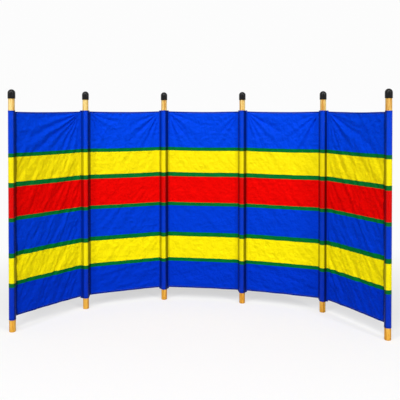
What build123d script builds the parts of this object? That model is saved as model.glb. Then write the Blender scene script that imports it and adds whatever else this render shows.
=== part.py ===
from build123d import *
import os
from math import atan2, cos, degrees, pi, radians, sin, sqrt

# Beach windbreak: six capped poles in pockets sewn to one long striped cloth.
#
# The poles stand in an arc. The cloth runs behind them, on the outside of the arc, and a
# strip sewn over the front of each pole makes its pocket. Between two poles the cloth is
# a bay. Millimetres, +Z up, +X along the middle bay, -Y towards the hollow of the arc.
# The origin is on the ground, at the centre of the whole object's box.

# Poles, numbered from the left as seen from the hollow side
pole_diameter = 32
bare_foot = 60
bare_top = 59
foot_chamfer = 2.5
top_chamfer = 1.5

# Caps pushed over the poles' upper ends
cap_side = 27.3
cap_wall = 2.5
cap_fit = 0.2
cap_lip = 0.7
pole_in_dome = 1.7
dome_sides = 24
dome_steps = (0, 20, 40, 60, 80)

# Cloth and pole pockets
cloth_thickness = 1.2
pocket_length = 1035
pocket_ease = 0.3
seam_from_pole = 5
seam_allowance = 3.5

# Bays between the poles
bay_pitch = 452
billow = 6
hem_height = 11
top_inset = 3.5
top_sag = 4.5
bottom_inset = 7
fold_ease = 0.3

# Turn of the row at each inner pole, in degrees, as it stands
turn_2 = 28
turn_3 = 29
turn_4 = 11
turn_5 = 40

# Radii and reaches in plan, from a pole's axis
pole_radius = pole_diameter / 2
cap_bore = pole_radius + cap_fit
cap_radius = cap_bore + cap_wall
pocket_bore = pole_radius + pocket_ease
pocket_radius = pocket_bore + cloth_thickness
seam = pole_radius + seam_from_pole
pocket_edge = seam + seam_allowance
pocket_reach = sqrt(pocket_edge**2 + pocket_radius**2)
panel_clear = pocket_reach + fold_ease

# The front cloth of a pocket leaves the round of the pole on the tangent to its seam.
seam_direction = atan2(pocket_bore, seam)
leave_angle = 2 * seam_direction - pi / 2
edge_front = pocket_bore - cloth_thickness
strip_end = (pocket_radius - edge_front * sin(leave_angle)) / cos(leave_angle)

# Heights
cap_grip = cap_side + pole_in_dome
pocket_top = bare_foot + pocket_length
pole_length = pocket_top + bare_top + cap_grip
panel_bottom = bare_foot + bottom_inset
panel_top = pocket_top - top_inset
hem_back = pocket_radius + cloth_thickness
panel_back = hem_back + billow

# Heading of each bay, and the poles' places, walked from the first pole to the last
headings = [turn_2 + turn_3, turn_3, 0, -turn_4, -turn_4 - turn_5]
walk = [(0.0, 0.0)]
for heading in headings:
    last_x, last_y = walk[-1]
    step_x = bay_pitch * cos(radians(heading))
    step_y = bay_pitch * sin(radians(heading))
    walk.append((last_x + step_x, last_y + step_y))

middle_x = (walk[0][0] + walk[-1][0]) / 2
row_front = min(y for x, y in walk) - cap_radius
row_back = max(y for x, y in walk) + panel_back
middle_y = (row_front + row_back) / 2
poles = [(x - middle_x, y - middle_y) for x, y in walk]


def make_pole(x, y):
    """A round wooden pole, flat at both ends, with its edges broken."""
    with BuildPart() as pole:
        with BuildSketch(Plane((x, y, 0))):
            Circle(pole_radius)
        extrude(amount=pole_length)
        chamfer(pole.edges().filter_by(GeomType.CIRCLE).sort_by(Axis.Z)[0], length=foot_chamfer)
        chamfer(pole.edges().filter_by(GeomType.CIRCLE).sort_by(Axis.Z)[-1], length=top_chamfer)
    return pole


def dome_rings(foot):
    """Radii and heights of a cap's dome, at steps in degrees up from its foot to a small flat top."""
    full_rise = sin(radians(dome_steps[-1]))
    rings = []
    for step in dome_steps:
        rise = cap_radius * sin(radians(step)) / full_rise
        rings.append((cap_radius * cos(radians(step)), foot + rise))
    return rings


def make_cap(x, y):
    """A moulded cap: a thin sleeve over the pole's end, closed by a dome as high as its radius.

    The dome is laid up from rings of flat facets, each leaning in further than the one below.
    """
    rim = pole_length - cap_grip
    rings = dome_rings(rim + cap_side)
    with BuildPart() as cap:
        with BuildSketch(Plane((x, y, rim))):
            Circle(cap_radius)
        extrude(amount=cap_side)
        chamfer(cap.edges().filter_by(GeomType.CIRCLE).sort_by(Axis.Z)[0], length=cap_lip)
        for (wide, low), (narrow, high) in zip(rings, rings[1:]):
            step_in = (wide - narrow) * cos(pi / dome_sides)
            with BuildSketch(Plane((x, y, low))):
                RegularPolygon(wide, dome_sides)
            extrude(amount=high - low, taper=degrees(atan2(step_in, high - low)))
        with BuildSketch(Plane((x, y, rim))):
            Circle(cap_bore)
        extrude(amount=cap_grip, mode=Mode.SUBTRACT)
    return cap


def beside_pole(heading, side, along, behind):
    """Point in plan, measured from a pole along one of its bays and behind that bay."""
    turn = radians(heading)
    px = side * along * cos(turn) - behind * sin(turn)
    py = side * along * sin(turn) + behind * cos(turn)
    return (px, py)


def flare(heading, side):
    """Cloth beside the pole: the back sheet and the front strip, out to the sewn edge."""
    return [
        (0, 0),
        beside_pole(heading, side, 0, pocket_radius),
        beside_pole(heading, side, pocket_edge, pocket_radius),
        beside_pole(heading, side, pocket_edge, edge_front),
        beside_pole(heading, side, strip_end, edge_front),
        beside_pole(heading, side, pocket_radius * cos(leave_angle), pocket_radius * sin(leave_angle)),
    ]


def flare_hollow(heading, side):
    """Space between the pole's round and the seam."""
    return [
        (0, 0),
        beside_pole(heading, side, 0, pocket_bore),
        beside_pole(heading, side, seam, pocket_bore),
        beside_pole(heading, side, pocket_bore * cos(leave_angle), pocket_bore * sin(leave_angle)),
    ]


def make_pocket(x, y, sides):
    """A pole pocket: cloth round the pole, drawn out to a sewn edge towards each bay."""
    with BuildPart() as pocket:
        with BuildSketch(Plane((x, y, bare_foot))):
            Circle(pocket_radius)
            for heading, side in sides:
                with BuildLine():
                    Polyline(*flare(heading, side), close=True)
                make_face()
            Circle(pocket_bore, mode=Mode.SUBTRACT)
            for heading, side in sides:
                with BuildLine():
                    Polyline(*flare_hollow(heading, side), close=True)
                make_face(mode=Mode.SUBTRACT)
        extrude(amount=pocket_length)
    return pocket


def bowed_strip(front, back):
    """A layer of cloth seen from above, blown back between two pockets' sewn edges.

    Its ends are scribed round the poles' axes, so that the bay swings clear of the pockets.
    """
    far_edge = bay_pitch - pocket_edge
    middle = bay_pitch / 2
    with BuildSketch(mode=Mode.PRIVATE) as strip:
        with BuildLine():
            near = ThreePointArc((pocket_edge, front), (middle, front + billow), (far_edge, front))
            far = ThreePointArc((pocket_edge, back), (middle, back + billow), (far_edge, back))
            Line(near @ 0, far @ 0)
            Line(near @ 1, far @ 1)
        make_face()
        with Locations((0, 0), (bay_pitch, 0)):
            Circle(panel_clear, mode=Mode.SUBTRACT)
    return strip.sketch


def bay_outline(bottom, top):
    """The bay seen from the front, from a straight lower edge to a sagging upper one."""
    middle = bay_pitch / 2
    with BuildSketch(mode=Mode.PRIVATE) as outline:
        with BuildLine():
            Polyline((0, top), (0, bottom), (bay_pitch, bottom), (bay_pitch, top))
            ThreePointArc((bay_pitch, top), (middle, top - top_sag), (0, top))
        make_face()
    return outline.sketch


def bay_slab(plan, front_view, layers, heights):
    """Cloth of one bay: its strip in plan, raised and trimmed to its outline from the front."""
    with BuildPart(mode=Mode.PRIVATE) as slab:
        with BuildSketch(plan):
            add(bowed_strip(*layers))
        extrude(amount=panel_top - panel_bottom)
        with BuildSketch(front_view):
            add(bay_outline(*heights))
        extrude(amount=-2 * panel_back, mode=Mode.INTERSECT)
    return slab.part


def make_panel(x, y, heading):
    """One bay of cloth, bowed in plan, with a sagging top edge and a hem along each edge.

    It starts two layers thick, and the turned-in layer goes from all but the hems.
    """
    along = (cos(radians(heading)), sin(radians(heading)), 0)
    forward = (sin(radians(heading)), -cos(radians(heading)), 0)
    plan = Plane((x, y, panel_bottom), x_dir=along, z_dir=(0, 0, 1))
    front_view = Plane((x, y, 0), x_dir=along, z_dir=forward)
    between_hems = (panel_bottom + hem_height, panel_top - hem_height)
    sheet = bay_slab(plan, front_view, (pocket_bore, hem_back), (panel_bottom, panel_top))
    single_layer = bay_slab(plan, front_view, (pocket_radius, hem_back + cloth_thickness), between_hems)
    with BuildPart() as panel:
        add(sheet)
        add(single_layer, mode=Mode.SUBTRACT)
    return panel


def keep(builder, name):
    """Label a finished piece and write its file."""
    builder.part.label = name
    export_step(builder.part, f"parts/{name}.step")


os.makedirs("parts", exist_ok=True)

for number, (x, y) in enumerate(poles, start=1):
    sides = []
    if number > 1:
        sides.append((headings[number - 2], -1))
    if number < len(poles):
        sides.append((headings[number - 1], 1))
    keep(make_pole(x, y), f"pole_{number}")
    keep(make_cap(x, y), f"cap_{number}")
    keep(make_pocket(x, y, sides), f"pocket_{number}")

for number, heading in enumerate(headings, start=1):
    x, y = poles[number - 1]
    keep(make_panel(x, y, heading), f"panel_{number}")
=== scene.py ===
# %% [markdown]
# # A beach windbreak
#
# Six pine poles stand in an arc. One long striped cloth runs behind them, and a strip sewn over
# the front of each inner pole makes its pocket. Black rubber caps close the poles' upper ends.
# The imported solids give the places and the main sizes. This script gives the cloth its folds, its
# seams and its stripes, and gives the wood and the rubber their finish.

# %% Load the frame
import math

import bpy
import numpy as np
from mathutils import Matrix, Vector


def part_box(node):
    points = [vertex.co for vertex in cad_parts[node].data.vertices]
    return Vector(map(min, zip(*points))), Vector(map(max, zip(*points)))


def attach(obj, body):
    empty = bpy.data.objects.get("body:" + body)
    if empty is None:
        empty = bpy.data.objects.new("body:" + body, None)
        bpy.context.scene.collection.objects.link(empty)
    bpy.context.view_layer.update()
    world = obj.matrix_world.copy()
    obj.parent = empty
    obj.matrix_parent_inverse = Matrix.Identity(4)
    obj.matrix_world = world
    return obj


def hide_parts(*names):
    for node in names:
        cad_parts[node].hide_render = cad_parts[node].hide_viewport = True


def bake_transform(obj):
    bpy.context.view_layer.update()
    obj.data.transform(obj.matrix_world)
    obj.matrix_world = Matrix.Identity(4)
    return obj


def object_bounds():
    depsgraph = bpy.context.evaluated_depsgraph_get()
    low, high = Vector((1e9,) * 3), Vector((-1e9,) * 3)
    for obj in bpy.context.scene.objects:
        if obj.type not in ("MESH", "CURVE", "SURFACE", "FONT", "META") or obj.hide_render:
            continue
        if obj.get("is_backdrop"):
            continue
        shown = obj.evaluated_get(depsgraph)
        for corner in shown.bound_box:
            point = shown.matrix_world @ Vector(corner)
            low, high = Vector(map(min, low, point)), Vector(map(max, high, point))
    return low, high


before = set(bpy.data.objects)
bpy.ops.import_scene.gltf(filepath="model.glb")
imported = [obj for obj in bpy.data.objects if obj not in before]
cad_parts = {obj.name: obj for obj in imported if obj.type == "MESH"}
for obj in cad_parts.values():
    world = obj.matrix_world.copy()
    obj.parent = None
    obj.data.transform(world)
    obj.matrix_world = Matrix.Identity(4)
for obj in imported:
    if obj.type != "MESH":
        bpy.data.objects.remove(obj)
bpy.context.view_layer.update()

mm = 0.001
scene = bpy.context.scene

# %% [markdown]
# ## Places that come from the solids
#
# A maker would lay the poles out first and cut the cloth to them. So the poles' axes, the
# heading of each bay and the heights of the cloth are all read from the solids' boxes. They could
# be typed in again here, but what is read can't drift apart from the solids.

# %% Poles, bays and heights
pole_numbers = range(1, 7)
bay_numbers = range(1, 6)
axes = {}
for number in pole_numbers:
    low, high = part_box(f"pole_{number}")
    axes[number] = np.array([(low.x + high.x) / 2, (low.y + high.y) / 2])
headings = {}
for number in bay_numbers:
    step = axes[number + 1] - axes[number]
    headings[number] = math.atan2(step[1], step[0])
bay_pitch = float(np.linalg.norm(axes[4] - axes[3]))

pole_low, pole_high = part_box("pole_1")
pole_radius = (pole_high.x - pole_low.x) / 2
pole_top = pole_high.z
cap_low, cap_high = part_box("cap_1")
cap_radius = (cap_high.x - cap_low.x) / 2
pocket_bottom, pocket_top = (corner.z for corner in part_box("pocket_3"))
panel_bottom, panel_top = (corner.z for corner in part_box("panel_3"))
pocket_length = pocket_top - pocket_bottom
panel_height = panel_top - panel_bottom
body_of_bay = {number: f"bay_{number}" for number in bay_numbers}
body_of_pole = {1: "bay_1", 2: "bay_2", 3: "bay_3", 4: "bay_3", 5: "bay_4", 6: "bay_5"}
print("bay pitch", round(bay_pitch, 4))
print("headings", {number: round(math.degrees(turn), 1) for number, turn in headings.items()})

# %% [markdown]
# ## The camera
#
# The picture was taken from just over a metre up, on the hollow side and a little to the right, with
# the camera almost level. The poles stay upright in it, so the frame is shifted down instead of the
# camera being tipped. The camera was worked out by fitting it to the poles' caps, hems and feet.

# %% Camera
picture_width = 400
focal_pixels = 588.5
horizon_row = 118.5
camera_place = (0.428, -3.038, 1.099)
camera_turn = math.radians(8.317)
camera_dip = math.radians(0.855)
sensor = 36.0


def put_in_scene(name, data):
    """A new object that holds the data, linked into the scene."""
    made = bpy.data.objects.new(name, data)
    scene.collection.objects.link(made)
    return made


camera_data = bpy.data.cameras.new("camera")
camera_data.sensor_width = sensor
camera_data.lens = focal_pixels / picture_width * sensor
camera_data.shift_y = (horizon_row - picture_width / 2) / picture_width
camera = put_in_scene("camera", camera_data)
camera.location = camera_place
camera.rotation_euler = (math.pi / 2 - camera_dip, 0, camera_turn)
scene.camera = camera
print("lens", round(camera_data.lens, 2), "shift", round(camera_data.shift_y, 4))

# %% [markdown]
# ## Studio light
#
# A lamp high in front lights the cloth from above, so that every sloping fold shows a light and a
# dark side. It is large and tall, so that the shadow under the cloth ends softly. Two narrow soft
# boxes at the left and right light the turned end bays and draw upright streaks on the round caps.
# The white room fills the rest. Spot lamps could do this too, but their shadows are hard. A lamp
# of power P at distance d lights a white surface that faces it to P / (pi * d)**2, and the levels
# are given that way.

# %% Lamps
top_level = 0.60
side_level = 0.295
lamp_distance = 8.0
lamp_target = np.array([0.0, 0.1, 0.6])


def soft_box(name, level, azimuth, elevation, width, height):
    """A rectangular lamp that faces the middle of the cloth, placed by two angles in degrees.

    The azimuth counts from the camera's side, to the right. The power follows from the level, as above."""
    lamp = bpy.data.lights.new(name, "AREA")
    lamp.shape = "RECTANGLE"
    lamp.size = width
    lamp.size_y = height
    lamp.energy = level * (math.pi * lamp_distance) ** 2
    holder = put_in_scene(name, lamp)
    turn = camera_turn + math.radians(azimuth)
    rise = math.radians(elevation)
    away = np.array([math.sin(turn) * math.cos(rise), -math.cos(turn) * math.cos(rise), math.sin(rise)])
    holder.location = lamp_target + away * lamp_distance
    holder.rotation_euler = (math.pi / 2 - rise, 0, turn)
    print(name, round(lamp.energy), "watts")


soft_box("top_light", top_level, azimuth=-6, elevation=52, width=3.0, height=6.5)
soft_box("left_light", side_level, azimuth=-40, elevation=26, width=0.8, height=4.5)
soft_box("right_light", side_level, azimuth=38, elevation=26, width=0.8, height=4.5)
scene.view_settings.view_transform = "Standard"

# %% [markdown]
# ## Shader nodes
#
# The room, the floor and each finish are small nets of shader nodes. They could be wired by hand in
# the Shader Editor. In a script, helpers that add a node and plug in its inputs keep them short.


# %% Node helpers
def plug_in(node, **inputs):
    """Gives a node its inputs: values, sockets, or nodes, which stand for their first output.

    An input is named with underscores for spaces, or with i and its number, such as i0."""
    for name, value in inputs.items():
        by_number = name[0] == "i" and name[1:].isdigit()
        socket = node.inputs[int(name[1:])] if by_number else node.inputs[name.replace("_", " ")]
        if isinstance(value, bpy.types.Node):
            value = value.outputs[0]
        if isinstance(value, bpy.types.NodeSocket):
            node.id_data.links.new(value, socket)
        else:
            socket.default_value = value


def add_node(tree, kind, settings=None, **inputs):
    """Adds a shader node of a kind, with settings for its attributes, and plugs in its inputs."""
    made = tree.nodes.new("ShaderNode" + kind)
    for name, value in (settings or {}).items():
        setattr(made, name, value)
    plug_in(made, **inputs)
    return made


def colour_ramp(tree, source, stops, interpolation="LINEAR"):
    """A colour ramp read at a source, with a colour for each place in its stops."""
    made = add_node(tree, "ValToRGB", Fac=source)
    elements = made.color_ramp.elements
    made.color_ramp.interpolation = interpolation
    for element, (place, colour) in zip(elements, stops):
        element.position, element.color = place, colour
    for place, colour in stops[len(elements):]:
        elements.new(place).color = colour
    return made


def new_paint(name):
    """A new material, its tree of nodes and its main shader."""
    paint = bpy.data.materials.new(name)
    paint.use_nodes = True
    return paint, paint.node_tree, paint.node_tree.nodes["Principled BSDF"]


def sees_white(tree):
    """1 for a ray that comes from the camera or from a glossy or clear surface, and else 0."""
    ray = add_node(tree, "LightPath")
    eye_or_clear = add_node(tree, "Math", {"operation": "MAXIMUM"},
                            i0=ray.outputs["Is Camera Ray"], i1=ray.outputs["Is Transmission Ray"])
    return add_node(tree, "Math", {"operation": "MAXIMUM"}, i0=eye_or_clear, i1=ray.outputs["Is Glossy Ray"])


# %% [markdown]
# ## The white room
#
# The room is white to the eye, and to glossy and clear surfaces too. Its light on everything else is
# lower, so that the white doesn't wash out the folds. White walls as meshes could do this, but the
# world has no corners, and Light Path tells it which kind of ray looks. The finishes are only
# slightly glossy, so the rubber still looks black in a white room.

# %% White room
room_white = 0.975
room_level = 0.31
room = bpy.data.worlds.new("room")
scene.world = room
room.use_nodes = True
room_tree = room.node_tree
room_tree.nodes.clear()
strength = add_node(room_tree, "Mix", {"data_type": "FLOAT"}, i0=sees_white(room_tree),
                    i2=room_level, i3=room_white)
glow = add_node(room_tree, "Background", Color=(1, 1, 1, 1), Strength=strength)
add_node(room_tree, "OutputWorld", Surface=glow)
print("room seen at", room_white, "and lighting at", room_level)

# %% [markdown]
# ## The floor
#
# A white floor that runs on to the horizon. Near the object it is a plain matt surface and keeps
# the shadow. A little light of its own lifts it to the white of the room. Only the camera and glossy
# or clear surfaces see that light, so it doesn't bleach the cloth, as a brighter lamp would. From
# about two metres out the floor is as white as the room, so that no horizon shows.

# %% Floor
floor_half = 60.0
floor_lift = 0.515
floor_white = 0.44
shadow_reach = (1.15, 2.2)
floor_mesh = bpy.data.meshes.new("floor")
floor_corners = [(-1, -1), (1, -1), (1, 1), (-1, 1)]
floor_mesh.from_pydata([(floor_half * x, floor_half * y, 0) for x, y in floor_corners], [], [(0, 1, 2, 3)])
floor = put_in_scene("floor", floor_mesh)
floor_paint, floor_tree, matt = new_paint("white_floor")
floor_seen = sees_white(floor_tree)
lift = add_node(floor_tree, "Math", {"operation": "MULTIPLY"}, i0=floor_seen, i1=floor_lift)
plug_in(matt, Base_Color=(floor_white, floor_white, floor_white, 1), Roughness=0.9,
        Specular_IOR_Level=0.0, Emission_Color=(1, 1, 1, 1), Emission_Strength=lift)
floor_place = add_node(floor_tree, "TexCoord")
floor_distance = add_node(floor_tree, "VectorMath", {"operation": "LENGTH"},
                          i0=floor_place.outputs["Object"])
floor_fade = add_node(floor_tree, "MapRange", {"interpolation_type": "SMOOTHSTEP"},
                      Value=floor_distance.outputs["Value"],
                      From_Min=shadow_reach[0], From_Max=shadow_reach[1])
fade_seen = add_node(floor_tree, "Math", {"operation": "MULTIPLY"}, i0=floor_fade, i1=floor_seen)
plain_white = add_node(floor_tree, "Emission", Color=(1, 1, 1, 1), Strength=room_white)
floor_mix = add_node(floor_tree, "MixShader", i0=fade_seen, i1=matt, i2=plain_white)
plug_in(floor_tree.nodes["Material Output"], Surface=floor_mix)
floor_mesh.materials.append(floor_paint)
floor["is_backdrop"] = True
print("floor", 2 * floor_half, "m wide, plain white from", shadow_reach[1], "m out")

# %% [markdown]
# ## Grids of points into meshes
#
# Every new piece here is a surface worked out with numpy. Cloth is two grids of points, one for
# each face of the fabric, closed by a rim. A turned piece is a profile carried round an axis. Both
# could be drawn by hand and given modifiers, but a grid keeps each point's place on the flat
# cloth, which the stripes need.

# %% Mesh helpers
sharp_edge = math.radians(50)
round_segments = 64


def make_object(name, points, faces, flat=None, layers=None):
    """A smooth mesh from an array of points and lists of faces, with its flat pattern as a UV map.

    flat gives each point's place on the cut cloth, and layers the painted shade there, as a count of
    extra layers."""
    mesh = bpy.data.meshes.new(name)
    corners = np.concatenate([np.asarray(part).ravel() for part in faces])
    sizes = np.concatenate([np.full(len(part), np.asarray(part).shape[1]) for part in faces])
    mesh.vertices.add(len(points))
    mesh.vertices.foreach_set("co", np.asarray(points, np.float32).ravel())
    mesh.loops.add(len(corners))
    mesh.loops.foreach_set("vertex_index", corners.astype(np.int32))
    mesh.polygons.add(len(sizes))
    mesh.polygons.foreach_set("loop_start", (np.cumsum(sizes) - sizes).astype(np.int32))
    mesh.polygons.foreach_set("use_smooth", np.ones(len(sizes), bool))
    mesh.update(calc_edges=True)
    if flat is not None:
        pattern = mesh.uv_layers.new(name="flat_cloth")
        pattern.data.foreach_set("uv", np.asarray(flat, np.float32)[corners].ravel())
    if layers is not None:
        # Painted shade: a count of extra layers that darkens the cloth's colour
        extra = mesh.attributes.new("painted_shade_layers", "FLOAT", "POINT")
        extra.data.foreach_set("value", np.asarray(layers, np.float32).ravel())
    mesh.set_sharp_from_angle(angle=sharp_edge)
    return put_in_scene(name, mesh)


def grid_quads(rows, columns, wrap=False):
    """Faces of a grid stored row by row: each joins a point to its right, diagonal and upper ones."""
    index = np.arange(rows * columns).reshape(rows, columns)
    if wrap:
        index = np.concatenate([index, index[:, :1]], axis=1)
    corners = [index[:-1, :-1], index[:-1, 1:], index[1:, 1:], index[1:, :-1]]
    return np.stack(corners, axis=-1).reshape(-1, 4)


def shell_faces(rows, columns):
    """Faces of a closed sheet: its front grid, its back grid turned round, and the rim between."""
    front = grid_quads(rows, columns)
    index = np.arange(rows * columns).reshape(rows, columns)
    border = np.concatenate([index[0, :-1], index[:-1, -1], index[-1, :0:-1], index[:0:-1, 0]])
    onward = np.roll(border, -1)
    shift = rows * columns
    rim = np.stack([onward, border, border + shift, onward + shift], axis=-1)
    return np.concatenate([front, front[:, ::-1] + shift, rim])


def turned(name, profile, centre, wobble=None):
    """A closed turned piece: points (radius, height) carried round an upright axis.

    Each point goes to the centre plus its radius times the cosine and the sine of an angle. The
    first and last points lie on the axis, and each becomes the middle of a fan of triangles."""
    profile = np.asarray(profile, float)
    angle = np.linspace(0, 2 * np.pi, round_segments, endpoint=False)
    radius = np.repeat(profile[1:-1, :1], round_segments, axis=1)
    height = np.repeat(profile[1:-1, 1:], round_segments, axis=1)
    if wobble is not None:
        radius = radius + wobble(angle[None, :], height)
    ring = np.stack([centre[0] + radius * np.cos(angle), centre[1] + radius * np.sin(angle), height],
                    axis=-1)
    ends = np.array([[*centre, profile[0, 1]], [*centre, profile[-1, 1]]])
    points = np.concatenate([ring.reshape(-1, 3), ends])
    rows = len(profile) - 2
    first = rows * round_segments
    last = first + 1
    here = np.arange(round_segments)
    there = np.roll(here, -1)
    under = np.stack([np.full(round_segments, first), there, here], axis=-1)
    top = first - round_segments
    over = np.stack([top + here, top + there, np.full(round_segments, last)], axis=-1)
    return make_object(name, points, [grid_quads(rows, round_segments, wrap=True), under, over])


print("faces of a closed sheet of 3 by 4 points:", len(shell_faces(3, 4)))

# %% [markdown]
# ## Smooth random numbers
#
# Cloth never lies quite even. Its small swells come from value noise: random heights on a lattice,
# joined by smooth steps. A lattice that is long one way and short the other gives streaks, as pulled
# cloth has. Blender's noise textures could shape it too, but these heights have to be known here,
# where the stitches are laid on them. Each call has its own seed, so every run gives the same piece.

# %% Value noise
lattice_size = 64


def noise(x, y, seed):
    """Random heights from -1 to 1 on a lattice of unit squares, joined by smooth steps.

    At a share t of the way between two of them the step is 6 t**5 - 15 t**4 + 10 t**3."""
    lattice = np.random.default_rng(seed).uniform(-1, 1, (lattice_size, lattice_size))
    column, row = np.floor(x).astype(int), np.floor(y).astype(int)
    across, up = x - column, y - row
    across = across ** 3 * (across * (across * 6 - 15) + 10)
    up = up ** 3 * (up * (up * 6 - 15) + 10)

    def at(dx, dy):
        return lattice[(column + dx) % lattice_size, (row + dy) % lattice_size]

    lower = at(0, 0) * (1 - across) + at(1, 0) * across
    upper = at(0, 1) * (1 - across) + at(1, 1) * across
    return lower * (1 - up) + upper * up


def streaks(along, up, angle, length, width, seed):
    """Noise stretched into streaks that lean at an angle from the level, in degrees."""
    lean = math.radians(angle)
    return noise((along * math.cos(lean) + up * math.sin(lean)) / length,
                 (up * math.cos(lean) - along * math.sin(lean)) / width, seed)


def creased(x, y, seed):
    """0.6 less 1.8 times the size of the noise, for round hollows and sharp ridges, as in creased cloth."""
    return 0.6 - 1.8 * np.abs(noise(x, y, seed))


def smooth_step(value, start, end):
    """0 before start, 1 after end, and 3 s**2 - 2 s**3 at a share s of the way between."""
    share = np.clip((value - start) / (end - start), 0, 1)
    return share * share * (3 - 2 * share)


print("noise at three places:", noise(np.array([0.5, 1.5, 2.5]), np.zeros(3), 1).round(2))

# %% [markdown]
# ## Folds pulled from the corners
#
# The cloth hangs from the tops of its pockets, so the upper corners carry the pull. From there
# sharp folds fan out downwards, bend a little and die away. Each fold is a ray: its angle below the
# hem and its half-width, in degrees, then its height and its reach, in millimetres. Because the
# width is an angle, a fold is narrow at the corner and opens out along its way. A cloth simulation
# could pull such folds, but drawn rays can be set where the real cloth has them.

# %% Fans of folds
pull_start = 34 * mm
fan_bend = 1.4
bend_length = 75 * mm
bend_spread = 15
left_fans = {
    1: [(24, 5, 0.8, 150), (50, 6, 0.7, 140)],
    2: [(14, 3, 0.8, 150), (21, 3.6, -2.4, 190), (33, 5, 1.8, 200), (43, 3, -1.2, 210),
        (52, 3.4, -2.4, 230), (63, 2.4, 2.6, 270), (69, 2.2, -1.2, 220), (76, 3, 1.0, 200),
        (83, 2.4, -0.8, 180)],
    3: [(12, 3, 0.7, 140), (20, 3.4, -2.0, 170), (34, 5, 1.6, 180), (45, 3, -1.2, 190),
        (54, 3.2, -2.4, 210), (66, 2.8, 2.3, 230), (74, 3, -1.2, 210), (82, 2.4, 0.8, 180)],
    4: [(12, 3, 0.8, 150), (19, 3, 1.2, 190), (31, 3.6, -3.2, 230), (42, 4, 2.0, 220),
        (50, 2.6, -1.4, 220), (57, 2.6, 1.9, 260), (65, 2.6, -1.4, 230), (72, 2.6, 2.0, 240),
        (80, 3, -1.2, 200)],
    5: [(8, 2.6, -1.0, 240), (14, 2.8, 1.6, 270), (21, 2.8, -1.6, 260), (29, 3.6, -3.8, 320),
        (39, 4, 3.4, 310), (49, 3.6, -3.0, 300), (57, 2.2, 1.6, 260), (63, 2.4, 3.0, 310),
        (69, 2.6, -1.8, 260), (75, 2.2, 1.3, 240), (82, 2.4, -1.2, 220)],
}
right_fans = {
    1: [(8, 3, -1.2, 330), (15, 4.4, 4.4, 440), (21.5, 3.2, -2.8, 420), (28, 4.4, 5.2, 470),
        (35, 3.2, -3.8, 380), (41, 3, 3.0, 320), (48, 2.6, -3.0, 300), (54, 2.6, 2.0, 290),
        (59, 2.4, -2.2, 280), (64, 2.8, 2.8, 310), (71, 2.6, -2.4, 290), (78, 2.8, 1.8, 260),
        (85, 2.4, -1.0, 220)],
    2: [(12, 3, 0.9, 160), (24, 3.4, -1.6, 200), (34, 3.2, 2.2, 210), (43, 3, -2.2, 220),
        (51, 2.6, 1.5, 220), (58, 2.6, 2.0, 240), (64, 2.6, -1.8, 250), (72, 2.6, 1.5, 230),
        (80, 2.6, -1.0, 190)],
    3: [(18, 3, 0.7, 150), (30, 4, -0.9, 170), (40, 4, 1.2, 190), (50, 3.4, -1.2, 210),
        (59, 3.2, 1.5, 230), (68, 3.4, -1.2, 220), (78, 3, 0.8, 190)],
    4: [(10, 3, 0.8, 170), (22, 3.4, -1.4, 220), (34, 3.4, 2.0, 250), (42, 3.2, -1.6, 250),
        (50, 2.6, 2.0, 280), (57, 2.6, 3.0, 320), (64, 2.8, -2.2, 280), (71, 2.4, 1.3, 260),
        (79, 3, -1.0, 220)],
    5: [(28, 5, 0.9, 150), (55, 5, -0.8, 150)],
}


def fan(across, down, rays, seed):
    """Height of the folds that fan out from a corner, at a distance across and down from it.

    Each ray adds its height times exp(-abs((angle - ray) / half_width)**1.7), a rounded ridge, or a
    valley where the height is negative. It grows from the corner by 1 - exp(-(distance /
    pull_start)**1.5) and fades by exp(-(distance / reach)**3). Smooth noise turns each place by up
    to fan_bend degrees, so that no fold runs quite straight."""
    distance = np.hypot(across, down)
    angle = np.degrees(np.arctan2(down, across))
    angle = angle + fan_bend * noise(distance / bend_length, angle / bend_spread, seed)
    raised = 1 - np.exp(-(distance / pull_start) ** 1.5)
    total = np.zeros_like(distance)
    for ray_angle, half_width, height, reach in rays:
        ridge = np.exp(-np.abs((angle - ray_angle) / half_width) ** 1.7)
        total += height * mm * ridge * raised * np.exp(-(distance / (reach * mm)) ** 3)
    return total


print("folds drawn by hand:", sum(map(len, left_fans.values())) + sum(map(len, right_fans.values())))

# %% [markdown]
# ## The surface of one bay
#
# A bay is blown back a little between its poles and pulled tight at both sides. Its height field
# is the sum of that belly, the corner fans, long diagonal streaks and a fine crumple. The end bays
# hang from one strong corner each, so their streaks lean towards it over the whole height, and the
# middle bays are almost flat below the top stripe. A height field suits a taut sheet, because no part
# of it hangs over another. The tables hold one value for each bay: leans in degrees and heights in
# millimetres. But fan_height multiplies the rays' own heights, and streak_fade is the share that
# the streaks lose in the top stripe.

# %% Height field of a bay
wing_edge = 24.5 * mm
billow = 6 * mm
top_sag = 4.5 * mm
hem_height = 11 * mm
corner_height = panel_top - 6 * mm
corner_inset = 2 * mm
least_drop = 0.5 * mm
slack_zone = (0.10, 0.34)
top_zone = (0.84, 0.95)
held_width = 16 * mm
hem_calm = 30 * mm
share_at_hem = 0.35
fan_height = {1: 1.75, 2: 2.5, 3: 2.9, 4: 2.4, 5: 2.2}
lean_of_streaks = {1: 61, 2: 55, 3: -50, 4: -56, 5: -60}
streak_height = {1: 4.7, 2: 1.5, 3: 1.2, 4: 1.5, 5: 4.4}
streak_fade = {1: 0.8, 2: 0.45, 3: 0.45, 4: 0.45, 5: 0.6}
slack_lean = {1: 20, 2: 12, 3: 14, 4: -12, 5: -20}
slack_height = {1: 1.2, 2: 2.6, 3: 2.8, 4: 2.8, 5: 1.2}
crumple_height = {1: 1.3, 2: 1.5, 3: 1.4, 4: 1.4, 5: 1.5}
# Each set of streaks: strength, extra lean in degrees, length and width in millimetres, first seed
streak_sets = [(1.0, 0, 170, 23, 20), (0.5, 7, 110, 12, 30), (0.5, -9, 90, 15, 35)]
coarse_crumple = (34 * mm, 28 * mm)
slanted_crumple = (24 * mm, 19 * mm)
fine_crumple = (9 * mm, 8 * mm)


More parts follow.
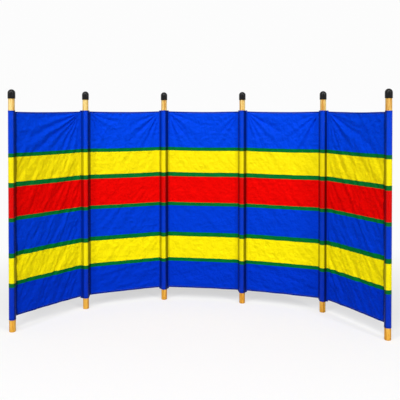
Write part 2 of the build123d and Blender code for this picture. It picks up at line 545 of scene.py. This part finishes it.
def crumpled_cloth(number, along, up):
    """Upright, slanted and fine crumple in shares of 1, 0.6 and 0.35, each with its own lattice."""
    crumple = creased(along / coarse_crumple[0], up / coarse_crumple[1], 50 + number)
    crumple += 0.6 * creased((along + up) / slanted_crumple[0], (up - along) / slanted_crumple[1],
                             60 + number)
    return crumple + 0.35 * noise(along / fine_crumple[0], up / fine_crumple[1], 65 + number)


def bay_height(number, along, up):
    """How far the cloth stands towards the hollow side of its straight line, in metres.

    Fans, streaks, slack and crumple are added up and calmed near the seams and hems. The belly is
    taken off: billow times 4 s (1 - s), at a share s of the way from pole to pole."""
    from_left = along - wing_edge
    from_right = bay_pitch - wing_edge - along
    below = np.maximum(corner_height - up, least_drop)
    folds = fan(from_left + corner_inset, below, left_fans[number], 400 + number)
    folds += fan(from_right + corner_inset, below, right_fans[number], 410 + number)
    folds *= fan_height[number]
    low_part = 1 - smooth_step(up, *slack_zone)
    upper_part = smooth_step(up, *top_zone)
    pulled = 0
    for strength, extra_lean, length, width, seed in streak_sets:
        lean = lean_of_streaks[number] + extra_lean
        pulled = pulled + strength * streaks(along, up, lean, length * mm, width * mm, seed + number)
    folds += streak_height[number] * mm * pulled * (1 - streak_fade[number] * upper_part)
    slack = streaks(along, up, slack_lean[number], 120 * mm, 19 * mm, 40 + number)
    folds += slack_height[number] * mm * slack * low_part
    crumple = crumpled_cloth(number, along, up)
    folds += (1 + 0.5 * upper_part) * crumple_height[number] * mm * crumple
    held = smooth_step(np.minimum(from_left, from_right), 0, held_width)
    near_hem = smooth_step(np.minimum(panel_top - up, up - panel_bottom), 0, hem_calm)
    share = along / bay_pitch
    belly = billow * 4 * share * (1 - share)
    return folds * held * (share_at_hem + (1 - share_at_hem) * near_hem) - belly * held


middle = bay_height(3, np.full(3, bay_pitch / 2), np.array([0.3, 0.6, 0.9]))
print("bay 3 stands back in its middle, mm:", (-middle / mm).round(1))

# %% [markdown]
# ## Stripes
#
# The cloth is woven in stripes of blue, yellow and red, with a narrow green one at each change.
# Their places are shares of the pocket's height, counted from the top. Each stripe could be a
# mesh of its own, but the real ones are one cloth. They follow the flat cloth and not the world, so
# the pattern coordinate is the cloth's own UV map: across the cloth in metres, and up it from 0
# at the pocket's lower edge to 1 at its upper edge.

# %% Stripe table
blue = (0.0005, 0.056, 0.75)
# The lower yellow is lighter than the upper only as painted light, to make up for the weaker light low on
# the cloth. The middle and lower blues are darker dyes, lightened a little as painted light for the same
# reason.
middle_blue_with_painted_light = (0.0005, 0.045, 0.66)
low_blue_with_painted_light = (0.0005, 0.036, 0.60)
green = (0.001, 0.17, 0.028)
yellow = (0.96, 0.80, 0.004)
low_yellow_painted_light = (0.99, 0.84, 0.003)
red = (0.83, 0.0018, 0.001)
stripe_colours = [blue, green, yellow, green, red, green, middle_blue_with_painted_light, green, low_yellow_painted_light, green, low_blue_with_painted_light]
stripe_ends = [0.2039, 0.2240, 0.3459, 0.3686, 0.5122, 0.5343, 0.6819, 0.7033, 0.8268, 0.8440]
print("stripes:", len(stripe_colours))

# %% [markdown]
# ## The finish of the cloth
#
# It is thin woven polyester, and creases finer than the mesh catch the light. Its colour holds
# painted shade: it is darker where more layers lie behind it, over the poles and along the hems,
# where less light comes through, and in bands beside the pockets, for the shade of the grooves
# there. On the pockets the yellow stripes are painted lighter. The stripes could be a painted
# picture, but a colour ramp on the UV map stays sharp at any distance. Bump from a noise texture is
# enough for the creases, because they are too shallow to show at the edge. The pockets are pulled
# round the poles, so their creases are shallower and they are a little glossier.


# %% Cloth material
def cloth_material(name, crease_depth, shade, yellow_painted_light, shine, roughness):
    """Thin woven polyester: stripes by the flat pattern, creases, and painted shade where it is doubled.

    An attribute counts extra layers, and each darkens the colour as painted shade: doubled cloth lets
    less light through, and the grooves beside the pockets lie in shade. A gain can make the yellow
    stripes lighter over a pole, as painted light."""
    paint, tree, shader = new_paint(name)
    pattern = add_node(tree, "UVMap", {"uv_map": "flat_cloth"})
    parts = add_node(tree, "SeparateXYZ", Vector=pattern)
    starts = [0.0] + [1 - end for end in reversed(stripe_ends)]
    # Painted light: the yellow stripes can be made lighter than the rest
    gains = [yellow_painted_light if colour in (yellow, low_yellow_painted_light) else 1.0 for colour in stripe_colours]
    colours = [(*(gain * part for part in colour), 1) for colour, gain in zip(stripe_colours, gains)][::-1]
    stripes = colour_ramp(tree, parts.outputs["Y"], list(zip(starts, colours)), "CONSTANT")
    place = add_node(tree, "TexCoord").outputs["Object"]
    mottle = add_node(tree, "TexNoise", Vector=place, Scale=26.0, Detail=4.0)
    tone = add_node(tree, "MapRange", Value=mottle, From_Min=0.3, From_Max=0.7,
                    To_Min=0.95 * shade, To_Max=1.02 * shade)
    # Painted shade: each extra layer darkens the colour, down to 0.22 of it at two layers
    extra = add_node(tree, "Attribute", {"attribute_name": "painted_shade_layers"})
    painted_darkening = add_node(tree, "MapRange", Value=extra.outputs["Fac"], From_Max=2.0, To_Min=1.0, To_Max=0.22)
    depth = add_node(tree, "Math", {"operation": "MULTIPLY"}, i0=tone, i1=painted_darkening)
    shaded_stripes = add_node(tree, "VectorMath", {"operation": "SCALE"}, i0=stripes, Scale=depth)
    creases = add_node(tree, "TexNoise", Vector=place, Scale=62.0, Detail=5.0, Roughness=0.6, Distortion=0.8)
    crumpled = add_node(tree, "Bump", Strength=0.8, Distance=crease_depth, Height=creases)
    plug_in(shader, Base_Color=shaded_stripes, Normal=crumpled, Roughness=roughness, Specular_IOR_Level=shine)
    print(name, "has", len(stripes.color_ramp.elements), "stripes")
    return paint


bay_cloth = cloth_material("striped_cloth", crease_depth=6.5 * mm, shade=1.02, yellow_painted_light=1.0,
                           shine=0.01, roughness=0.34)
# On the pockets, shade darkens the colour as painted shade over the poles, and the yellow stripes are
# lightened as painted light
pocket_cloth = cloth_material("striped_pocket_cloth", crease_depth=3 * mm, shade=0.86, yellow_painted_light=1.14,
                              shine=0.07, roughness=0.17)

# %% [markdown]
# ## The bays
#
# Each bay is a closed sheet. Its front face follows the height field, and its back face lies one
# cloth behind, or two along the hems, where the edge is turned in and stitched down. Solidify could
# thicken a single sheet, but the hems would need a vertex group of their own. The bay ends at the
# edge of the sewn strips, and its upper edge sags slightly between the poles.

# %% Sheets between the poles
columns_in_bay = 102
rows_in_bay = 226
rows_in_hem = 7
past_hem = 2 * mm
cloth_gauge = 0.9 * mm
pole_ease = 0.3 * mm
cloth_front = pole_radius + pole_ease
hem_slope = 1.2 * mm
seam_slope = 2 * mm
# Painted shade along the hems, where doubled cloth lets less light through, and near each edge
hem_painted_shade = 0.35
edge_painted_shade = 1.1
edge_band = (5 * mm, 8 * mm)
# Painted shade beside the strips, for doubled cloth and for the grooves' shade: extra layers and width
# in millimetres of the darker band at a bay's left seam, then at its right one
seam_painted_shade = {1: (1.7, 15, 0.6, 2), 2: (1.8, 6, 0.5, 2), 3: (0.5, 2, 1.2, 3), 4: (0.5, 2, 1.2, 3),
              5: (0.3, 2, 1.5, 23)}


def from_axis(number, along, behind):
    """Steps in x and y from a bay's left pole: along its line and behind it, turned by its heading."""
    heading = headings[number]
    return (along * math.cos(heading) - behind * math.sin(heading),
            along * math.sin(heading) + behind * math.cos(heading))


def plan_point(number, along, behind):
    """Places in plan, from a distance along a bay's line and a distance behind it."""
    x, y = from_axis(number, along, behind)
    return axes[number][0] + x, axes[number][1] + y


def sag_of(along):
    """Drop of the upper edge: top_sag times 4 s (1 - s), at a share s of the way from pole to pole."""
    return top_sag * 4 * (along / bay_pitch) * (1 - along / bay_pitch)


def hem_depth(from_edge):
    """1 where the cloth is doubled in a hem along its edge, falling to 0 over a short slope."""
    return 1 - smooth_step(from_edge, hem_height - hem_slope, hem_height)


def painted_seam_band(distance, layers, width):
    """Painted shade, as extra layers, in a band beside a seam, falling to 0 over a short slope."""
    return layers * (1 - smooth_step(distance, width * mm - seam_slope, width * mm))


def painted_shade_of_bay(number, along, from_hem):
    """Painted shade at each point, as extra layers: along the hems and their edges, and beside the seams."""
    left_shade, left_width, right_shade, right_width = seam_painted_shade[number]
    extra = hem_painted_shade * hem_depth(from_hem) + edge_painted_shade * (1 - smooth_step(from_hem, *edge_band))
    extra += painted_seam_band(along - wing_edge, left_shade, left_width)
    extra += painted_seam_band(bay_pitch - wing_edge - along, right_shade, right_width)
    return np.minimum(2, extra)


def bay_sheet(number):
    """A bay's cloth as a closed sheet, two gauges thick along its hems and one elsewhere."""
    share = np.linspace(0, 1, columns_in_bay)[None, :]
    along = wing_edge + share * (bay_pitch - 2 * wing_edge) + np.zeros((rows_in_bay, 1))
    ragged = 0.35 * mm * noise(along / (70 * mm), np.zeros_like(along), 70 + number)
    ragged_low = 0.5 * mm * noise(along / (60 * mm), np.zeros_like(along), 80 + number)
    high_edge = panel_top - sag_of(along) + ragged
    low_edge = panel_bottom + ragged_low
    edge_rows = np.linspace(0, hem_height + past_hem, rows_in_hem + 1)[:-1] / panel_height
    middle_rows = np.linspace(edge_rows[-1], 1 - edge_rows[-1], rows_in_bay - 2 * rows_in_hem + 2)[1:-1]
    climb = np.concatenate([edge_rows, middle_rows, 1 - edge_rows[::-1]])[:, None]
    up = low_edge + climb * (high_edge - low_edge)
    from_hem = np.minimum(up - low_edge, high_edge - up)
    front = cloth_front - bay_height(number, along, up)
    back = front + cloth_gauge * (1 + hem_depth(from_hem))
    faces = []
    for behind in (front, back):
        x, y = plan_point(number, along, behind)
        faces.append(np.stack([x, y, up], axis=-1).reshape(-1, 3))
    flat_up = (panel_bottom - pocket_bottom + climb * panel_height) / pocket_length
    flat = np.stack([along + number * bay_pitch, flat_up + 0 * along], axis=-1)
    extra = painted_shade_of_bay(number, along, from_hem).ravel()
    sheet = make_object(f"bay_cloth_{number}", np.concatenate(faces),
                        [shell_faces(rows_in_bay, columns_in_bay)],
                        np.tile(flat.reshape(-1, 2), (2, 1)), np.tile(extra, 2))
    sheet.data.materials.append(bay_cloth)
    return sheet


for number in bay_numbers:
    sheet = bay_sheet(number)
    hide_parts(f"panel_{number}")
    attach(sheet, body_of_bay[number])
    print(sheet.name, "quads", len(sheet.data.polygons))

# %% [markdown]
# ## The pole pockets
#
# Seen from above, the strip over an inner pole starts flat on the cloth, is stitched down beside
# the pole, leaves the seam on a straight line, wraps the front of the pole and comes down again on
# the other side. The cloth behind follows the back of the pole. At an end pole the cloth itself goes
# round the pole and is sewn back on itself, so there is one seam, on the side of the bay. A plain tube
# would be quicker, but it would lack the straight run to the seam that shows beside each pole.

# %% Plan of a pocket
seam_reach = 21 * mm
cloth_gap = 0.1 * mm
strip_radius = pole_radius + pole_ease + cloth_gauge / 2
back_line = cloth_front + cloth_gauge / 2
strip_line = cloth_front - cloth_gauge / 2 - cloth_gap


def side_point(number, side, along, behind):
    """A point beside a pole, from its axis, on the bay to its right (side 1) or left (side -1)."""
    return np.array(from_axis(number, side * along, behind))


def tangent_angle(number, side):
    """Direction, from the pole's axis, of the point where the strip leaves the pole for its seam.

    It is the seam's own direction, turned back by the angle whose cosine is the strip's radius over
    the seam's distance."""
    seam = side_point(number, side, seam_reach, strip_line)
    towards = math.atan2(seam[1], seam[0])
    return towards - side * math.acos(strip_radius / np.linalg.norm(seam))


def round_the_front(angle):
    """The same direction as an angle below zero, so that an arc from it passes the pole's front."""
    return angle - 2 * math.pi if angle > 0 else angle


def arc_points(start, end, count):
    """Points round the pole between two directions, at the middle of the cloth's thickness."""
    angle = np.linspace(start, end, count)
    return strip_radius * np.stack([np.cos(angle), np.sin(angle)], axis=-1)


def along_path(points, spacing):
    """Even points along a broken line, with its corners eased, and their distances along it."""
    steps = np.concatenate([[0], np.cumsum(np.linalg.norm(np.diff(points, axis=0), axis=1))])
    count = int(steps[-1] / spacing) + 1
    wanted = np.linspace(0, steps[-1], count)
    even = np.stack([np.interp(wanted, steps, points[:, k]) for k in (0, 1)], axis=-1)
    eased = even.copy()
    eased[1:-1] = 0.25 * even[:-2] + 0.5 * even[1:-1] + 0.25 * even[2:]
    return eased, wanted


def sewn_run(number, side):
    """The flat run of a strip beside a pole, from its sewn edge to its seam."""
    return [side_point(number, side, along, strip_line) for along in (wing_edge, seam_reach)]


def front_strip_plan(number):
    """Path of the front strip of an inner pole's pocket, left to right."""
    left, right = number - 1, number
    start = round_the_front(tangent_angle(left, -1))
    end = tangent_angle(right, 1)
    return np.concatenate([sewn_run(left, -1), arc_points(start, end, 40), sewn_run(right, 1)[::-1]])


def back_strip_plan(number):
    """Path of the cloth behind an inner pole, left to right."""
    left, right = number - 1, number
    return np.concatenate([
        [side_point(left, -1, wing_edge, back_line)],
        arc_points(headings[left] + math.pi / 2, headings[right] + math.pi / 2, 12),
        [side_point(right, 1, wing_edge, back_line)]])


def end_pocket_plan(number):
    """Path of the cloth round an end pole, between its sewn front edge and the bay's back."""
    bay, side = (1, 1) if number == 1 else (5, -1)
    start = tangent_angle(bay, side)
    end = headings[bay] + math.pi / 2
    if side == 1:
        end -= 2 * math.pi
    else:
        start = round_the_front(start)
    behind = [side_point(bay, side, wing_edge, back_line)]
    path = np.concatenate([sewn_run(bay, side), arc_points(start, end, 60), behind])
    return path[::-1] if side == 1 else path


print("points in a pocket's front path:", len(front_strip_plan(3)))

# %% [markdown]
# The strips are carried up the pole. Stitching gathers the cloth a little, so it stands off in
# small puckers near each seam, a few millimetres wide, and lies smoother over the pole itself. Bump
# could fake the puckers, but it wouldn't show along the pockets' outlines.

# %% Pocket cloth
strip_spacing = 1.9 * mm
rows_in_pocket = 184
pucker_height = 0.7 * mm
pucker_crest = wing_edge - seam_reach + 7 * mm
pucker_spread = 6 * mm
pucker_size = (10 * mm, 9 * mm)
swell_size = (13 * mm, 45 * mm)
sewn_zone = (5 * mm, 9 * mm)
thicker_hem = 0.25
pocket_hem_painted_shade = 0.6
band_fade = 2.5 * mm
# Painted shade of the grooves and the pockets' sides, for a pole and a side: start and end of the
# darker band, in millimetres from the sewn edge, and its extra layers
pocket_painted_shade = {
    (1, 1): (-9, 47, 1.7), (2, -1): (5, 24, 1.3), (2, 1): (-9, 37, 1.7), (3, -1): (2, 23, 1.2),
    (3, 1): (5, 35, 1.8), (4, -1): (-9, 30, 1.2), (4, 1): (6, 34, 1.8), (5, -1): (-9, 31, 1.2),
    (5, 1): (10, 23, 2.1), (6, -1): (-9, 49, 1.5)}


def painted_shade_band(distance, band):
    """Painted shade, as extra layers, in a band between two distances from a strip's seamed edge."""
    start, end, layers = band
    inside = smooth_step(distance, start * mm - band_fade, start * mm + band_fade)
    return layers * inside * (1 - smooth_step(distance, end * mm - band_fade, end * mm + band_fade))


def strip_grid(plan, centre, seed, left_band, right_band):
    """Front and back grids of a strip of cloth carried up along a plan path.

    It stands off by pucker_height times smooth noise: puckers under a bell-shaped curve beside each
    seam, and half as much in long swells. At its two edges it lies flat. A band for an edge says
    that it is seamed there and where painted shade darkens the strip."""
    path, distance = along_path(plan, strip_spacing)
    end = distance[-1]
    tangent = np.gradient(path, axis=0)
    tangent /= np.linalg.norm(tangent, axis=1, keepdims=True)
    outward = np.stack([tangent[:, 1], -tangent[:, 0]], axis=-1)
    climb = np.linspace(0, 1, rows_in_pocket)[:, None]
    wide = distance[None, :] + 0 * climb
    up = pocket_bottom + climb * pocket_length + 0 * wide
    gather = 0 * wide
    shaded_bands = 0 * wide
    for from_edge, band in ((wide, left_band), (end - wide, right_band)):
        if band:
            gather += np.exp(-((from_edge - pucker_crest) / pucker_spread) ** 2)
            shaded_bands += painted_shade_band(from_edge, band)
    puckers = 0.5 + 0.5 * noise(wide / pucker_size[0], up / pucker_size[1], seed)
    swells = 0.5 + 0.5 * noise(wide / swell_size[0], up / swell_size[1], seed + 1)
    loose = smooth_step(np.minimum(wide, end - wide), *sewn_zone)
    lift = pucker_height * loose * (gather * puckers + 0.5 * swells)
    hem = hem_depth(np.minimum(up - pocket_bottom, pocket_top - up))
    grids = []
    for depth in (cloth_gauge / 2, -cloth_gauge / 2):
        out = lift + depth * (1 + thicker_hem * hem)
        xy = centre + path + outward * out[..., None]
        grids.append(np.concatenate([xy, up[..., None]], axis=-1))
    flat = np.stack([wide, climb + 0 * wide], axis=-1).reshape(-1, 2)
    # Painted shade: the bands beside the seams, and the hems, where less light comes through
    return grids, flat, np.minimum(2, shaded_bands + pocket_hem_painted_shade * hem), end


def sewn_tube(name, strips, centre, seed):
    """One pocket from its strips, each a plan path and the bands at its seamed ends, in one mesh."""
    points, faces, flats, painted_shades = [], [], [], []
    start = 0
    width = 0
    for step, (plan, left_band, right_band) in enumerate(strips):
        (front, back), flat, extra, wide = strip_grid(plan, centre, seed + 7 * step, left_band, right_band)
        rows, columns = front.shape[:2]
        points += [front.reshape(-1, 3), back.reshape(-1, 3)]
        faces.append(shell_faces(rows, columns) + start)
        flats += [flat, flat]
        painted_shades += [extra.ravel(), extra.ravel()]
        start += 2 * rows * columns
        width += wide
    tube = make_object(name, np.concatenate(points), faces, np.concatenate(flats), np.concatenate(painted_shades))
    tube.data.materials.append(pocket_cloth)
    return tube, width


# %% [markdown]
# The row folds at the inner poles, so their pockets belong to two bays. Here each is only fixed in
# place and given to neither bay. A rigid pocket would tear away from one of its bays.


def bend_between_bays(tube):
    """Writes an inner pocket's placement into its points; the pocket is given to no body."""
    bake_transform(tube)


for number in pole_numbers:
    at_end = number in (1, 6)
    # Bands of painted shade beside each pocket's seams
    left_band, right_band = pocket_painted_shade.get((number, -1)), pocket_painted_shade.get((number, 1))
    if at_end:
        strips = [(end_pocket_plan(number), left_band, right_band)]
    else:
        strips = [(front_strip_plan(number), left_band, right_band),
                  (back_strip_plan(number)[::-1], None, None)]
    tube, width = sewn_tube(f"pocket_cloth_{number}", strips, axes[number], 300 + 10 * number)
    if at_end:
        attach(tube, body_of_pole[number])
    else:
        bend_between_bays(tube)
    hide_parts(f"pocket_{number}")
    print(tube.name, "cloth width", round(width, 4), "quads", len(tube.data.polygons))

# %% [markdown]
# ## Stitching
#
# Both seams of a bay are lockstitched to the strips, and both hems are stitched down. A stitch is a
# short thread with its two ends dipped into the cloth, drawn as a small five-sided spindle. Bar tacks
# hold the seams' upper and lower ends: a few crosswise stitches set close together. A dashed line in
# the material could stand for all this, but real threads catch the light one by one.

# %% Threads
thread_radius = 0.34 * mm
thread_paint, _, thread_shader = new_paint("grey_thread")
plug_in(thread_shader, Base_Color=(0.16, 0.19, 0.27, 1), Roughness=0.6, Specular_IOR_Level=0.2)


def spindle():
    """Points of one stitch along +X, of unit length and radius, and its faces."""
    stations = [(-0.4, 0.75), (0.0, 1.0), (0.4, 0.75)]
    sides = 5
    turns = np.arange(sides) * 2 * math.pi / sides
    points = [(x, r * math.cos(t), r * math.sin(t)) for x, r in stations for t in turns]
    points += [(-0.5, 0, 0), (0.5, 0, 0)]
    here, there = np.arange(sides), np.roll(np.arange(sides), -1)
    last = sides * (len(stations) - 1)
    left = np.stack([np.full(sides, last + sides), there, here], axis=-1)
    right = np.stack([last + here, last + there, np.full(sides, last + sides + 1)], axis=-1)
    return np.array(points), grid_quads(len(stations), sides, wrap=True), np.concatenate([left, right])


def threads(name, middles, directions, lengths):
    """One mesh of many stitches, each at its middle, along its direction and of its length."""
    template, quads, triangles = spindle()
    middles, directions = np.asarray(middles), np.asarray(directions)
    directions = directions / np.linalg.norm(directions, axis=1, keepdims=True)
    helper = np.where(np.abs(directions[:, 2:]) > 0.7, [[1.0, 0, 0]], [[0, 0, 1.0]])
    second = np.cross(directions, helper)
    second /= np.linalg.norm(second, axis=1, keepdims=True)
    third = np.cross(directions, second)
    lengths = np.asarray(lengths)[:, None, None]
    points = middles[:, None, :] + directions[:, None, :] * template[None, :, :1] * lengths
    points = points + thread_radius * (second[:, None, :] * template[None, :, 1:2]
                                       + third[:, None, :] * template[None, :, 2:])
    shift = (np.arange(len(middles)) * len(template))[:, None, None]
    return make_object(name, points.reshape(-1, 3),
                       [(quads[None] + shift).reshape(-1, 4), (triangles[None] + shift).reshape(-1, 3)])


# %% Stitches of each bay
stitch_pitch = 5 * mm
stitch_length = 3.4 * mm
hem_stitch_line = hem_height - 2.5 * mm
thread_lift = 0.1 * mm
hem_thread_lift = 0.15 * mm
seam_end_gap = 12 * mm
hem_end_gap = 4 * mm
tack_feet = (pocket_bottom + 3 * mm, pocket_top - 11 * mm)
tack_stitches = 8
tack_pitch = 1.1 * mm
tack_length = 3.6 * mm


def bay_stitches(number):
    """Middles, directions and lengths of all stitches of a bay: two seams, two hems, four bar tacks."""
    middles, directions, lengths = [], [], []
    level_way = np.array([math.cos(headings[number]), math.sin(headings[number]), 0])
    strip_face = strip_line - cloth_gauge / 2 - thread_lift
    for along in (seam_reach, bay_pitch - seam_reach):
        for up in np.arange(pocket_bottom + seam_end_gap, pocket_top - seam_end_gap, stitch_pitch):
            middles.append((*plan_point(number, along, strip_face), up))
            directions.append((0, 0, 1))
            lengths.append(stitch_length)
        for foot in tack_feet:
            for step in range(tack_stitches):
                middles.append((*plan_point(number, along, strip_face), foot + step * tack_pitch))
                directions.append(level_way)
                lengths.append(tack_length)
    line = np.arange(wing_edge + hem_end_gap, bay_pitch - wing_edge - hem_end_gap, stitch_pitch)
    for up in (panel_top - sag_of(line) - hem_stitch_line, panel_bottom + hem_stitch_line + 0 * line):
        x, y = plan_point(number, line, cloth_front - bay_height(number, line, up) - hem_thread_lift)
        middles += list(np.stack([x, y, up], axis=-1))
        directions += [level_way] * len(line)
        lengths += [stitch_length] * len(line)
    return middles, directions, lengths


for number in bay_numbers:
    sewing = threads(f"stitching_{number}", *bay_stitches(number))
    sewing.data.materials.append(thread_paint)
    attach(sewing, body_of_bay[number])
    print(sewing.name, "faces", len(sewing.data.polygons))

# %% [markdown]
# ## Poles
#
# Each pole is a turned pine rod with broken edges. A bevelled cylinder would be close, but a
# turned profile also takes a rod's small unevenness. Pine is pale, with fine darker lines that run
# along it, so the grain is noise stretched along the height. The foot is a little darker, as painted shade.

# %% Pine
foot_break = 2.5 * mm
top_break = 1.5 * mm


def pine_material():
    """Sanded pine: pale bands and fine dark lines along the grain, and painted shade towards the foot."""
    paint, tree, shader = new_paint("sanded_pine")
    place = add_node(tree, "TexCoord").outputs["Object"]
    drawn = add_node(tree, "Mapping", Vector=place, Scale=(1.0, 1.0, 0.06))
    bands = add_node(tree, "TexNoise", Vector=drawn, Scale=95.0, Detail=3.0)
    lines = add_node(tree, "TexNoise", Vector=drawn, Scale=420.0, Detail=3.0)
    grain = add_node(tree, "Mix", {"data_type": "FLOAT"}, i0=0.35, i2=bands, i3=lines)
    tint = colour_ramp(tree, grain, [(0.40, (0.62, 0.29, 0.05, 1)), (0.60, (0.91, 0.69, 0.28, 1)),
                                     (0.50, (0.86, 0.59, 0.17, 1))])
    # Painted shade: darker and more orange towards the foot
    height = add_node(tree, "SeparateXYZ", Vector=place)
    foot = add_node(tree, "MapRange", Value=height.outputs["Z"], From_Min=0.02, From_Max=0.5,
                    To_Min=1.0, To_Max=0.0)
    foot_painted_shade = add_node(tree, "Mix", {"data_type": "RGBA", "blend_type": "MULTIPLY"}, i0=foot, i6=tint,
                    i7=(1.02, 0.75, 0.32, 1))
    grooves = add_node(tree, "Bump", Strength=0.35, Distance=0.2 * mm, Height=lines)
    plug_in(shader, Base_Color=foot_painted_shade.outputs[2], Normal=grooves, Roughness=0.52, Specular_IOR_Level=0.1)
    return paint


def hand_turned(angle, height):
    """Unevenness of a turned rod: 0.08 mm times two slow sines of the angle and the height."""
    return 0.08 * mm * np.sin(2 * angle + 9 * height) * np.sin(23 * height)


def broken_edge(radius, height, size, steps, upper=False):
    """Quarter round at the lower or upper edge of a turned piece, as points going up."""
    sides = np.linspace(0, math.pi / 2, steps) if upper else np.linspace(math.pi / 2, 0, steps)
    inward = -1 if upper else 1
    return [(radius - size * (1 - math.cos(a)), height + inward * size * (1 - math.sin(a))) for a in sides]


pine = pine_material()
shaft = [(pole_radius, z) for z in np.linspace(foot_break, pole_top - top_break, 40)[1:-1]]
rod_profile = [(0, 0), *broken_edge(pole_radius, 0, foot_break, 6), *shaft,
               *broken_edge(pole_radius, pole_top, top_break, 5, upper=True), (0, pole_top)]
for number in pole_numbers:
    rod = turned(f"pine_pole_{number}", rod_profile, axes[number], hand_turned)
    rod.data.materials.append(pine)
    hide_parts(f"pole_{number}")
    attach(rod, body_of_pole[number])
print("poles", round(2 * pole_radius / mm, 2), "mm thick")

# %% [markdown]
# ## Caps
#
# A moulded cap of glossy black rubber is a thin sleeve closed by a half-round dome. Its lower lip is
# slightly rounded, and inside it is hollow down to the end of the pole. It could be a tube with half
# a sphere on it, but one turned profile has no join to hide.

# %% Rubber caps
cap_wall = 2.5 * mm
cap_bore = cap_radius - cap_wall
cap_bottom = cap_low.z
cap_shoulder = cap_high.z - cap_radius
lip = 0.7 * mm
bore_round = 1 * mm


def rubber_material():
    """Glossy black rubber with a faint orange-peel skin."""
    paint, tree, shader = new_paint("black_rubber")
    place = add_node(tree, "TexCoord").outputs["Object"]
    skin = add_node(tree, "TexNoise", Vector=place, Scale=900.0, Detail=2.0)
    smear = add_node(tree, "TexNoise", Vector=place, Scale=70.0, Detail=3.0)
    dull = add_node(tree, "MapRange", Value=smear, From_Min=0.3, From_Max=0.7, To_Min=0.15, To_Max=0.21)
    peel = add_node(tree, "Bump", Strength=0.06, Distance=0.2 * mm, Height=skin)
    plug_in(shader, Base_Color=(0.0015, 0.0015, 0.0017, 1), Normal=peel, Roughness=dull,
            Specular_IOR_Level=0.22)
    return paint


rubber = rubber_material()
hollow = [(0, pole_top), (cap_bore - bore_round, pole_top), (cap_bore, pole_top - bore_round),
          (cap_bore, cap_bottom)]
sleeve = [(cap_radius, z) for z in np.linspace(cap_bottom + lip, cap_shoulder, 8)[1:-1]]
dome = [(cap_radius * math.cos(a), cap_shoulder + cap_radius * math.sin(a))
        for a in np.linspace(0, math.pi / 2, 20)[:-1]]
cap_profile = [*hollow, *broken_edge(cap_radius, cap_bottom, lip, 5), *sleeve, *dome, (0, cap_high.z)]
for number in pole_numbers:
    cap = turned(f"rubber_cap_{number}", cap_profile, axes[number])
    cap.data.materials.append(rubber)
    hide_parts(f"cap_{number}")
    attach(cap, body_of_pole[number])
print("caps", round(2 * cap_radius / mm, 2), "mm wide")

# %% [markdown]
# ## The size of the dressed part
#
# Folds may stand out past the solids by a few millimetres. The box of all shown pieces, without the
# floor, is printed.

# %% Sizes, and the end
low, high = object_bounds()
print("visual box, metres:", [round(v, 4) for v in (*low, *high)])
